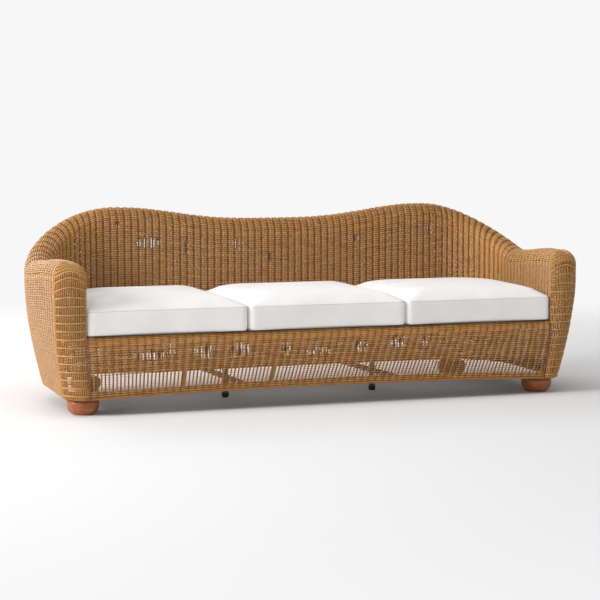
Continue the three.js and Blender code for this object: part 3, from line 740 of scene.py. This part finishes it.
def weave_arm_front(side, hand):
    faces = (f"{side}_arm_front_weave",)
    stakes = np.r_[even(0, 1, PANEL_STAKES), even(1, 2, PANEL_DOME_STAKES)]
    weave(
        f"{side}_arm_front", hand(arched(panel_point)), (0, PANEL_TOP), stakes, even(0, 1, PANEL_ROWS),
        LADDER, faces, probe=(0.5, 0.5), outward=FRONT,
    )


def weave_apron():
    faces = ("front_apron_weave",)
    rows = np.r_[even(0, 1, APRON_ROWS), even(1, 2, APRON_TURN_ROWS)]
    weave(
        "apron", apron_point, (-1, 1), even(-1, 1, APRON_STAKES), rows, OPEN, faces,
        probe=(0, 0.5), outward=FRONT, fill=apron_closer,
    )


def weave_deck():
    weave(
        "deck", deck_point, (-1, 1), even(-1, 1, DECK_STAKES), even(0, 1, DECK_ROWS), RIBBED, ("seat_deck",),
        probe=(0, 0.5), outward=UP,
    )


weave_back()
for side, hand in SIDES:
    weave_side(side, hand)
    weave_arm_front(side, hand)
weave_apron()
weave_deck()

# Borders, and a strip of painted shadow under the cushions' front

ROPE_SIDES = 6
ROPE_STEPS = 6
ROPE_SHARE = 0.7
ROPE_PLUMP = 0.9
ROPE_AIM = (0.02, 0.03, 1.0)
APRON_BORDER_ROW = 0.005
APRON_BORDER_OUT = 0.002
APRON_BORDER_RADIUS = 3.6 * MM
APRON_BORDER_PITCH = 16 * MM
APRON_BORDER_POINTS = 200
CREASE_BORDER_START = 0.01
CREASE_BORDER_END = 1.9
CREASE_BORDER_PLACE = 0.004
CREASE_BORDER_RADIUS = 2.7 * MM
CREASE_BORDER_PITCH = 13 * MM
CREASE_BORDER_POINTS = 120
SEAT_SHADOW_END = 1.035
SEAT_SHADOW_ROW = -0.4258
SEAT_SHADOW_HEIGHT = 0.0044
SEAT_SHADOW_POINTS = 90
SEAT_SHADOW_SECTION = np.array([[-1, -2], [-1, 2], [-0.8, 2.4], [0.8, 2.4], [1, 2], [1, -2]]) * [1, MM]
CLOSED_GAPS = (-0.6111, -0.2302)
CLOSING_HALF = 5.6 * MM
CLOSING_LIFT = -1.9 * MM
CLOSING_POINTS = 40


def resampled(values, along, fine):
    return np.stack([np.interp(fine, along, values[:, i]) for i in range(3)], -1)


def rope(name, path, radius, pitch, faces, stuff):
    """Two strands wound round each other along a path, as a border of the weave."""
    run = normalised(np.gradient(path, axis=0))
    level = normalised(np.cross(run, ROPE_AIM))
    rise = np.cross(run, level)
    along = length_along(path)
    fine = np.arange(0, along[-1], pitch / ROPE_STEPS)
    path, level, rise = (resampled(values, along, fine) for values in (path, level, rise))
    turn = np.linspace(0, TURN, ROPE_SIDES, endpoint=False)
    section = np.stack([np.cos(turn), ROPE_PLUMP * radius * np.sin(turn)], -1)
    strands = Strands()
    for start in (0, np.pi):
        angle = (TURN * fine / pitch + start)[:, None]
        out = level * np.cos(angle) + rise * np.sin(angle)
        strands.add(path + out * radius * ROPE_SHARE, out, section, ROPE_PLUMP * radius)
    strands.build(name, materials[stuff], faces)


def seat_edge():
    """A dark strip along the deck's front, under the front of the cushions: a painted shadow of the gap
    beneath them.
    """
    x = np.linspace(-SEAT_SHADOW_END, SEAT_SHADOW_END, SEAT_SHADOW_POINTS)
    path = np.stack([x, np.full_like(x, SEAT_SHADOW_ROW), np.full_like(x, DECK + 0.5 * SEAT_SHADOW_HEIGHT)], -1)
    band = Strands()
    band.add(path, np.tile((0.0, -1.0, 0.0), (len(x), 1)), SEAT_SHADOW_SECTION, 0.5 * SEAT_SHADOW_HEIGHT)
    band.build("seat_edge_band", materials["edge"], ("seat_deck",))


def closing_stakes():
    """Wide stakes that each close one gap of the apron's see-through band."""
    up = np.linspace(0, 1, CLOSING_POINTS)
    wide = Strands()
    for a in CLOSED_GAPS:
        place = np.full_like(up, a)
        normal = normals_on(apron_point, place, up, 1)
        wide.add(apron_point(place, up), normal, STAKE, CLOSING_HALF, CLOSING_LIFT)
    wide.build("apron_closing_stakes", materials["stake"], ("front_apron_weave",))


def apron_border():
    path = apron_point(np.linspace(-1, 1, APRON_BORDER_POINTS), APRON_BORDER_ROW)
    path = path + [0, -APRON_BORDER_OUT, APRON_BORDER_OUT]
    rope("apron_border", path, APRON_BORDER_RADIUS, APRON_BORDER_PITCH, ("front_apron_weave",), "stake")


def crease_border(side, hand):
    up = np.linspace(CREASE_BORDER_START, CREASE_BORDER_END, CREASE_BORDER_POINTS)
    path = hand(panel_point)(up, CREASE_BORDER_PLACE)
    faces = (f"{side}_arm_front_weave",)
    rope(f"{side}_crease_border", path, CREASE_BORDER_RADIUS, CREASE_BORDER_PITCH, faces, "bright")


seat_edge()
apron_border()
for side, hand in SIDES:
    crease_border(side, hand)
closing_stakes()

# Wood, paint and plastic

WOOD_GRAIN = (9.0, 60.0, 60.0)


def wood(name):
    material, nodes, links, shader = principled(name)
    place = stretched(nodes, links, object_place(nodes), WOOD_GRAIN)
    grain = noise(nodes, links, place, scale=1.0, detail=6.0, distortion=0.8)
    stops = ((0.30, (134, 68, 34)), (0.70, (184, 110, 62)))
    links.new(ramp(nodes, links, grain, stops), shader.inputs["Base Color"])
    bump(nodes, links, grain, shader, strength=0.15, distance=0.001)
    shader.inputs["Roughness"].default_value = 0.42
    return material


def mottled(name, low, high, rough, metal=0.0):
    material, nodes, links, shader = principled(name)
    mottle = noise(nodes, links, object_place(nodes), scale=60.0)
    links.new(ramp(nodes, links, mottle, ((0.35, low), (0.65, high))), shader.inputs["Base Color"])
    bump(nodes, links, mottle, shader, strength=0.1, distance=0.0005)
    shader.inputs["Roughness"].default_value = rough
    shader.inputs["Metallic"].default_value = metal
    return material


finishes = {
    "foot_wood": wood("foot_wood"),
    "frame_paint": mottled("frame_paint", (104, 72, 36), (128, 92, 48), rough=0.5),
    "bolt_zinc": mottled("bolt_zinc", (150, 152, 154), (190, 191, 193), rough=0.35, metal=0.9),
    "glide_plastic": mottled("glide_plastic", (24, 22, 21), (40, 37, 35), rough=0.5),
}
slot_of = {part["node"]: part["material_slot"] for part in frame["record"]["subparts"]}
for node, piece in frame["nodes"].items():
    if slot_of.get(node) in finishes:
        for place in piece.material_slots:
            place.material = finishes[slot_of[node]]

# Turned feet

FOOT_RADIUS = 0.069
FOOT_FLAT = 0.033
FOOT_TOP = 0.060
FOOT_BELLY = 0.046
BELLY_RINGS, SHOULDER_RINGS = 12, 8
TURNED_SIDES = 72


def turned(name, outline, centre, node):
    """A solid of revolution."""
    sides = np.linspace(0, TURN, TURNED_SIDES, endpoint=False)
    radius, height = np.array(outline).T
    rings = np.stack([
        centre[0] + radius[:, None] * np.cos(sides),
        centre[1] + radius[:, None] * np.sin(sides),
        np.repeat(height[:, None], TURNED_SIDES, 1),
    ], -1)
    index = np.arange(len(outline) * TURNED_SIDES).reshape(-1, TURNED_SIDES)
    faces = walls(index).tolist() + [index[0][::-1].tolist(), index[-1].tolist()]
    mesh = bpy.data.meshes.new(name)
    mesh.from_pydata(rings.reshape(-1, 3).tolist(), [], faces)
    mesh.polygons.foreach_set("use_smooth", [True] * len(faces))
    mesh.materials.append(finishes["foot_wood"])
    return add_piece(name, mesh, (node,))


def foot_outline(height):
    belly = [
        (mix(FOOT_FLAT, FOOT_RADIUS, math.sin(t)), FOOT_BELLY * (1 - math.cos(t)))
        for t in np.linspace(0, QUARTER, BELLY_RINGS)
    ]
    shoulder = [
        (mix(FOOT_TOP, FOOT_RADIUS, math.cos(t)), mix(FOOT_BELLY, height, math.sin(t)))
        for t in np.linspace(0, QUARTER, SHOULDER_RINGS)[1:]
    ]
    return [*belly, *shoulder]


for node in ("front_left_foot", "front_right_foot", "rear_left_foot", "rear_right_foot"):
    low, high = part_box(node)
    turned(f"{node}_turned", foot_outline(high.z), (low + high) / 2, node)

# Fabric of the cushions

CUSHION_SEAM = DECK + 0.104
SEAM_HALF = 0.0012
SEAM_COLOUR = (212, 209, 207)
SEAM_DEPTH = 0.3
FOLDS = (13.0, 3.0, 3.0)
THREAD_DEPTH = 0.08


def sewn_line(nodes, links):
    """0 on the sewn line, where the mesh's seam attribute is near nothing, and 1 away from it."""
    size = nodes.new("ShaderNodeMath")
    size.operation = "ABSOLUTE"
    links.new(read_attribute(nodes, "seam"), size.inputs[0])
    line = nodes.new("ShaderNodeMapRange")
    line.interpolation_type = "SMOOTHSTEP"
    line.inputs["From Min"].default_value = SEAM_HALF / 2
    line.inputs["From Max"].default_value = SEAM_HALF * 2
    links.new(size.outputs[0], line.inputs["Value"])
    return line.outputs["Result"]


def fabric(name):
    """Close cotton with a sewn line and soft folds."""
    material, nodes, links, shader = principled(name)
    place = object_place(nodes)
    line = sewn_line(nodes, links)
    stops = ((0.35, (239, 236, 235)), (0.65, (245, 243, 242)))
    cloud = ramp(nodes, links, noise(nodes, links, place, scale=5.0), stops)
    links.new(blend_colours(nodes, links, line, colour(*SEAM_COLOUR), cloud), shader.inputs["Base Color"])
    folds = noise(nodes, links, stretched(nodes, links, place, FOLDS), scale=1.0)
    thread = noise(nodes, links, place, scale=700.0, detail=1.0)
    relief = times_plus(nodes, links, thread, THREAD_DEPTH, folds)
    relief = times_plus(nodes, links, line, SEAM_DEPTH, relief)
    bump(nodes, links, relief, shader, strength=0.35, distance=0.004)
    shader.inputs["Roughness"].default_value = 0.9
    shader.inputs["Sheen Weight"].default_value = 0.15
    return material


cushion_fabric = fabric("cushion_fabric")

# Cushions

VOXEL = 0.008
SHRINK = 0.003
RISE_LIMIT = 0.026
RISE_START = 0.02
SIDE_LIMIT = 0.006
SMOOTHINGS = 14
CLOTH_STEPS = 20
CLOTH = {
    "quality": 5,
    "mass": 0.3,
    "tension_stiffness": 25,
    "compression_stiffness": 25,
    "shear_stiffness": 8,
    "bending_stiffness": 0.6,
    "use_pressure": True,
    "uniform_pressure_force": 4,
}
END_FILL = 0.006
MIDDLE_HALF = 0.3592
LIE_GAP = 0.0006


def read_points(mesh, key="co"):
    values = np.empty(len(mesh.vertices) * 3, np.float32)
    mesh.vertices.foreach_get(key, values)
    return values.reshape(-1, 3).astype(float)


def write_points(mesh, points):
    mesh.vertices.foreach_set("co", np.ascontiguousarray(points, np.float32).ravel())
    mesh.update()


def applied(piece, kind, **settings):
    modifier = piece.modifiers.new(kind.lower(), kind)
    for key, value in settings.items():
        setattr(modifier, key, value)
    bpy.ops.object.modifier_apply(modifier=modifier.name)


def blown(piece, start):
    """Where the cloth's points go under a little pressure, with no weight."""
    cloth = piece.modifiers.new("cloth", "CLOTH")
    for key, value in CLOTH.items():
        setattr(cloth.settings, key, value)
    cloth.settings.effector_weights.gravity = 0
    cloth.point_cache.frame_start = 1
    cloth.point_cache.frame_end = CLOTH_STEPS
    for step in range(1, CLOTH_STEPS + 1):
        bpy.context.scene.frame_set(step)
    shaped = piece.evaluated_get(bpy.context.evaluated_depsgraph_get())
    moved = read_points(shaped.data)
    piece.modifiers.remove(cloth)
    bpy.context.scene.frame_set(1)
    return moved - start


def capped(step, limit):
    length = np.linalg.norm(step, axis=1, keepdims=True)
    return step * np.minimum(1, limit / np.maximum(length, LEAST))


def smoothed(mesh, values, times):
    """Each point's value averaged with its neighbours' the given number of times."""
    edges = np.empty(len(mesh.edges) * 2, np.int32)
    mesh.edges.foreach_get("vertices", edges)
    a, b = edges.reshape(-1, 2).T
    shared = np.bincount(np.r_[a, b], minlength=len(values))[:, None]
    for _ in range(times):
        total = np.zeros_like(values)
        np.add.at(total, a, values[b])
        np.add.at(total, b, values[a])
        values = 0.5 * values + 0.5 * total / shared
    return values


def fitted(values, low, high):
    """The values stretched to run from low to high."""
    return low + (values - values.min()) * (high - low) / np.ptp(values)


def remeshed(name, node):
    """A copy of the node's solid in small even faces."""
    mesh = frame["nodes"][node].data.copy()
    mesh.name = name
    mesh.materials.clear()
    mesh.materials.append(cushion_fabric)
    piece = bpy.data.objects.new(name, mesh)
    bpy.context.scene.collection.objects.link(piece)
    bpy.context.view_layer.objects.active = piece
    bpy.ops.object.select_all(action="DESELECT")
    piece.select_set(True)
    applied(piece, "REMESH", mode="VOXEL", voxel_size=VOXEL, use_smooth_shade=True)
    return piece, mesh


def puffed(piece, mesh, points):
    """The points after the cloth has swelled: a little sideways, and up only above the seam."""
    step = blown(piece, points)
    rise = share(points[:, 2:], CUSHION_SEAM, CUSHION_SEAM + RISE_START)
    step[:, :2] = capped(step[:, :2], SIDE_LIMIT)
    step[:, 2:] = capped(step[:, 2:], RISE_LIMIT) * rise
    return points + smoothed(mesh, step, SMOOTHINGS)


def cushion_cover(name, node, limits):
    """The fabric of a box cushion: the solid a little smaller, blown up as cloth and fitted back."""
    piece, mesh = remeshed(name, node)
    points = read_points(mesh)
    mesh.attributes.new("seam", "FLOAT", "POINT")
    mesh.attributes["seam"].data.foreach_set("value", (points[:, 2] - CUSHION_SEAM).astype(np.float32))
    points = points - read_points(mesh, "normal") * SHRINK
    write_points(mesh, points)
    points = puffed(piece, mesh, points)
    low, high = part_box(node)
    points[:, 0] = fitted(points[:, 0], *limits)
    points[:, 1] = fitted(points[:, 1], low.y, high.y)
    points[:, 2] = np.maximum(points[:, 2], DECK + LIE_GAP)
    write_points(mesh, points)
    applied(piece, "SUBSURF", levels=1)
    mesh.polygons.foreach_set("use_smooth", np.ones(len(mesh.polygons), bool))
    return piece


left_low, left_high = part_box("left_cushion")
right_low, right_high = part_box("right_cushion")
for node, limits in (
    ("left_cushion", (left_low.x - END_FILL, left_high.x)),
    ("middle_cushion", (-MIDDLE_HALF, MIDDLE_HALF)),
    ("right_cushion", (right_low.x, right_high.x + END_FILL)),
):
    piece = cushion_cover(f"{node}_cover", node, limits)
    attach(piece, f"{node}_body")
    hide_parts(node)

# Camera at the photograph's place

SENSOR = 36
LENS = 106.8
FARTHEST = 200

camera_data = bpy.data.cameras.new("camera")
camera = bpy.data.objects.new("camera", camera_data)
bpy.context.scene.collection.objects.link(camera)
bpy.context.scene.camera = camera
camera_data.sensor_width = SENSOR
camera_data.lens = LENS
camera_data.clip_end = FARTHEST
camera.location = target + back * reach
camera.rotation_mode = "QUATERNION"
camera.rotation_quaternion = (-back).to_track_quat("-Z", "Y")

# Light: each lamp's place, what it faces, its width and height, and its watts

LAMPS = {
    "key": ((-11.0, -1.6, 4.8), (-0.2, 0, 0.4), (4.3, 4.0), 1180),
    "top": ((-0.5, -1.2, 5.0), (0, 0, 0.3), (5.0, 4.0), 88),
    "rear": ((-2.4, 4.8, 3.0), (-0.4, -0.4, 0.2), (6.4, 3.6), 170),
    "under": ((0, 0.05, 0.26), (0, 0.05, 0), (1.9, 0.5), 0.62),
    "fill": ((-3.6, -6.5, 1.3), (0, 0, 0.3), (4.0, 2.0), 42),
}
WORLD_LIGHT = 0.34
BACKDROP = (0.93, 0.93, 0.93, 1)


def lamp(name, place, aim, size, watts):
    data = bpy.data.lights.new(name, "AREA")
    data.shape = "RECTANGLE"
    data.size, data.size_y = size
    data.energy = watts
    light = bpy.data.objects.new(name, data)
    bpy.context.scene.collection.objects.link(light)
    light.location = place
    light.rotation_mode = "QUATERNION"
    light.rotation_quaternion = (Vector(aim) - Vector(place)).to_track_quat("-Z", "Y")
    return light


def studio():
    """An even dim light all round, and a pale backdrop to look at."""
    world = bpy.data.worlds.new("studio")
    bpy.context.scene.world = world
    world.use_nodes = True
    nodes, links = world.node_tree.nodes, world.node_tree.links
    lit = nodes["Background"]
    lit.inputs["Color"].default_value = (1, 1, 1, 1)
    lit.inputs["Strength"].default_value = WORLD_LIGHT
    seen = nodes.new("ShaderNodeBackground")
    seen.inputs["Color"].default_value = BACKDROP
    light_path = nodes.new("ShaderNodeLightPath")
    either = nodes.new("ShaderNodeMixShader")
    links.new(light_path.outputs["Is Camera Ray"], either.inputs[0])
    links.new(lit.outputs[0], either.inputs[1])
    links.new(seen.outputs[0], either.inputs[2])
    links.new(either.outputs[0], nodes["World Output"].inputs["Surface"])


lights = {name: lamp(name, *values) for name, values in LAMPS.items()}
lights["under"].visible_camera = False
studio()

# Floor, which fades into the backdrop away from the sofa

FLOOR_SIZE = 60
FLOOR_TONE = (0.85, 0.85, 0.85, 1)
FADE_START = 1.8
FADE_END = 5.0


def floor_material():
    material, nodes, links, shader = principled("floor")
    shader.inputs["Base Color"].default_value = FLOOR_TONE
    shader.inputs["Roughness"].default_value = 0.9
    shader.inputs["Specular IOR Level"].default_value = 0.1
    geometry = nodes.new("ShaderNodeNewGeometry")
    distance = nodes.new("ShaderNodeVectorMath")
    distance.operation = "LENGTH"
    links.new(geometry.outputs["Position"], distance.inputs[0])
    fade = nodes.new("ShaderNodeMapRange")
    fade.inputs["From Min"].default_value = FADE_START
    fade.inputs["From Max"].default_value = FADE_END
    fade.interpolation_type = "SMOOTHSTEP"
    links.new(distance.outputs["Value"], fade.inputs["Value"])
    plain = nodes.new("ShaderNodeEmission")
    plain.inputs["Color"].default_value = BACKDROP
    light_path = nodes.new("ShaderNodeLightPath")
    seen_far = nodes.new("ShaderNodeMath")
    seen_far.operation = "MULTIPLY"
    links.new(fade.outputs["Result"], seen_far.inputs[0])
    links.new(light_path.outputs["Is Camera Ray"], seen_far.inputs[1])
    both = nodes.new("ShaderNodeMixShader")
    links.new(seen_far.outputs[0], both.inputs[0])
    links.new(shader.outputs[0], both.inputs[1])
    links.new(plain.outputs[0], both.inputs[2])
    links.new(both.outputs[0], nodes["Material Output"].inputs["Surface"])
    return material


bpy.ops.mesh.primitive_plane_add(size=FLOOR_SIZE, location=(0, 0, 0))
floor = bpy.context.object
floor.name = "floor"
floor.data.materials.append(floor_material())
floor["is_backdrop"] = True

bpy.context.scene.view_settings.view_transform = "Standard"

low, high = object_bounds()
